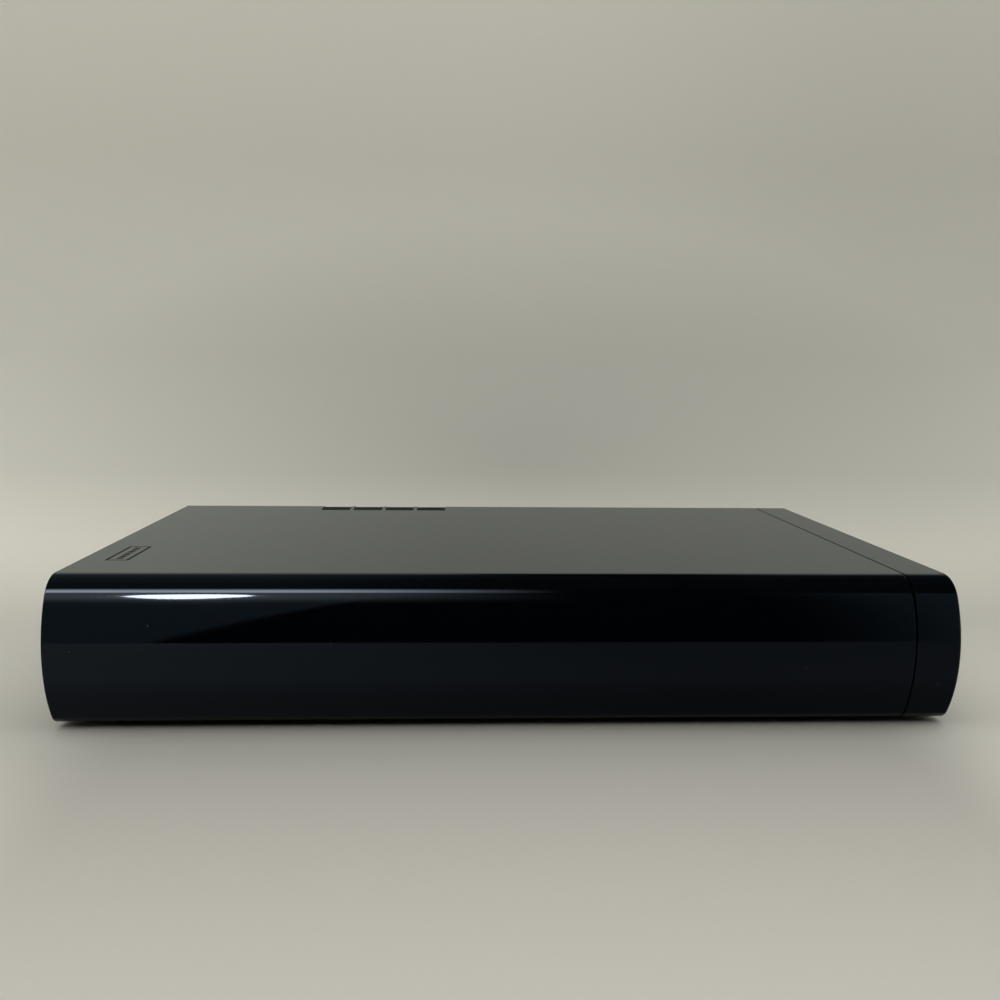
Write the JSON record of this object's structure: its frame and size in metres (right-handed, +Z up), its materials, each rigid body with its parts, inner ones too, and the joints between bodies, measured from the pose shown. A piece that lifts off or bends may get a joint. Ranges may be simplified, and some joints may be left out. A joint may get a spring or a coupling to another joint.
{
  "type": "video game console",
  "caption": "Low slot-loading disc game console in a glossy sleeve case with bulged sides, a front bezel with a port flap, and a full disc drive, boards and blower inside.",
  "frame": {"origin": "on the floor under the middle of the case, at the bottom of the rubber feet", "axes": "+Z up; the front with the disc slot faces -Y; +X is on the right of someone who looks at the front"},
  "size_m": [0.172, 0.2686, 0.046],
  "materials": {
    "case_gloss": "polished black ABS, slightly blue, mirror gloss with hairline scratches",
    "bezel_gloss": "polished black ABS, mirror gloss",
    "matte_black": "fine sparked black ABS, matte",
    "port_black": "black connector plastic",
    "rubber_black": "soft black rubber",
    "felt_black": "short black felt",
    "light_clear": "clear acrylic light pipe",
    "button_red": "red moulded plastic",
    "sensor_red": "dull red connector plastic",
    "board_green": "green solder mask on glass-fibre board",
    "sheet_steel": "zinc-plated sheet steel",
    "screw_steel": "blackened steel",
    "bright_steel": "bright nickel-plated steel",
    "aluminium": "extruded aluminium, satin",
    "brass": "turned brass",
    "white_plastic": "natural white acetal",
    "fan_black": "black glass-filled nylon"
  },
  "bodies": {
    "console": {"top_case": "case_gloss", "base_pan": "matte_black", "front_bezel": "bezel_gloss", "rear_panel": "matte_black", "power_light": "light_clear", "port_bay": "matte_black", "side_vent_grille": "matte_black", "foot_1": "rubber_black", "foot_2": "rubber_black", "foot_3": "rubber_black", "foot_4": "rubber_black", "case_screw_1": "screw_steel", "case_screw_2": "screw_steel", "case_screw_3": "screw_steel", "case_screw_4": "screw_steel", "battery_cover": "matte_black", "battery_cell": "bright_steel", "slot_felt": "felt_black", "main_board": "board_green", "front_board": "board_green", "wireless_board": "board_green", "metal_shield": "sheet_steel", "processor": "sheet_steel", "heat_sink": "aluminium", "blower_housing": "fan_black", "flat_cable": "white_plastic", "dc_inlet": "port_black", "video_port": "bright_steel", "av_port": "port_black", "usb_port_rear": "bright_steel", "sensor_port": "sensor_red", "usb_port_left": "bright_steel", "usb_port_right": "bright_steel", "card_reader": "port_black", "drive_chassis": "sheet_steel", "drive_cover": "sheet_steel", "drive_damper_1": "rubber_black", "drive_damper_2": "rubber_black", "drive_damper_3": "rubber_black", "drive_damper_4": "rubber_black", "load_motor": "sheet_steel"},
    "port_flap": {"port_flap": "bezel_gloss"},
    "power_button": {"power_button": "bezel_gloss"},
    "eject_button": {"eject_button": "bezel_gloss"},
    "sync_button": {"sync_button": "button_red"},
    "blower_impeller": {"blower_impeller": "fan_black"},
    "clamp_puck": {"clamp_puck": "white_plastic"},
    "traverse": {"traverse_frame": "sheet_steel", "spindle_motor": "sheet_steel", "guide_rod_left": "bright_steel", "guide_rod_right": "bright_steel", "sled_motor": "sheet_steel"},
    "turntable": {"turntable": "fan_black"},
    "laser_sled": {"laser_sled": "fan_black"},
    "lead_screw": {"lead_screw": "bright_steel"},
    "cam_slider": {"cam_slider": "white_plastic"},
    "roller_arm": {"roller_arm": "sheet_steel", "drive_belt": "rubber_black"},
    "load_roller": {"load_roller": "rubber_black"},
    "motor_pulley": {"motor_pulley": "brass"}
  },
  "joints": [
    {"name": "power_press", "type": "slide", "parent": "console", "child": "power_button", "axis": [0, 1, 0], "range_m": [0, 0.001], "stiffness_N_per_m": 500},
    {"name": "eject_press", "type": "slide", "parent": "console", "child": "eject_button", "axis": [0, 1, 0], "range_m": [0, 0.001], "stiffness_N_per_m": 500},
    {"name": "sync_press", "type": "slide", "parent": "console", "child": "sync_button", "axis": [0, 1, 0], "range_m": [0, 0.001], "stiffness_N_per_m": 500},
    {"name": "flap_hinge", "type": "hinge", "parent": "console", "child": "port_flap", "pos_m": [0, -0.13315, 0.00975], "axis": [1, 0, 0], "range_deg": [0, 95]},
    {"name": "blower_spin", "type": "hinge", "parent": "console", "child": "blower_impeller", "pos_m": [0.038, 0.057, 0.0124], "axis": [0, 0, 1], "continuous": true},
    {"name": "puck_spin", "type": "hinge", "parent": "console", "child": "clamp_puck", "pos_m": [0, -0.046, 0.0365], "axis": [0, 0, 1], "continuous": true},
    {"name": "traverse_lift", "type": "hinge", "parent": "console", "child": "traverse", "pos_m": [0, 0.024, 0.0268], "axis": [-1, 0, 0], "range_deg": [0, 3.9]},
    {"name": "cam_slide", "type": "slide", "parent": "console", "child": "cam_slider", "axis": [1, 0, 0], "range_m": [0, 0.018]},
    {"name": "turntable_spin", "type": "hinge", "parent": "traverse", "child": "turntable", "pos_m": [0, -0.04618, 0.02713], "axis": [0, -0.068, 0.9977], "continuous": true},
    {"name": "sled_slide", "type": "slide", "parent": "traverse", "child": "laser_sled", "axis": [0, 0.9977, 0.068], "range_m": [0, 0.034]},
    {"name": "lead_screw_spin", "type": "hinge", "parent": "traverse", "child": "lead_screw", "pos_m": [0.0285, -0.04502, 0.0248], "axis": [0, 0.9977, 0.068], "range_deg": [0, 4080]},
    {"name": "roller_arm_lift", "type": "hinge", "parent": "console", "child": "roller_arm", "pos_m": [0, -0.09, 0.026], "axis": [-1, 0, 0], "range_deg": [0, 7.5]},
    {"name": "roller_spin", "type": "hinge", "parent": "roller_arm", "child": "load_roller", "pos_m": [0, -0.107, 0.0274], "axis": [1, 0, 0], "continuous": true},
    {"name": "motor_pulley_spin", "type": "hinge", "parent": "console", "child": "motor_pulley", "pos_m": [-0.0588, -0.09, 0.026], "axis": [1, 0, 0], "continuous": true}
  ],
  "couplings": [
    {"joint": "cam_slide", "follows": "traverse_lift", "m_per_rad": 0.26444},
    {"joint": "lead_screw_spin", "follows": "sled_slide", "rad_per_m": 2094.4},
    {"joint": "motor_pulley_spin", "follows": "roller_spin", "ratio": 1.5}
  ]
}
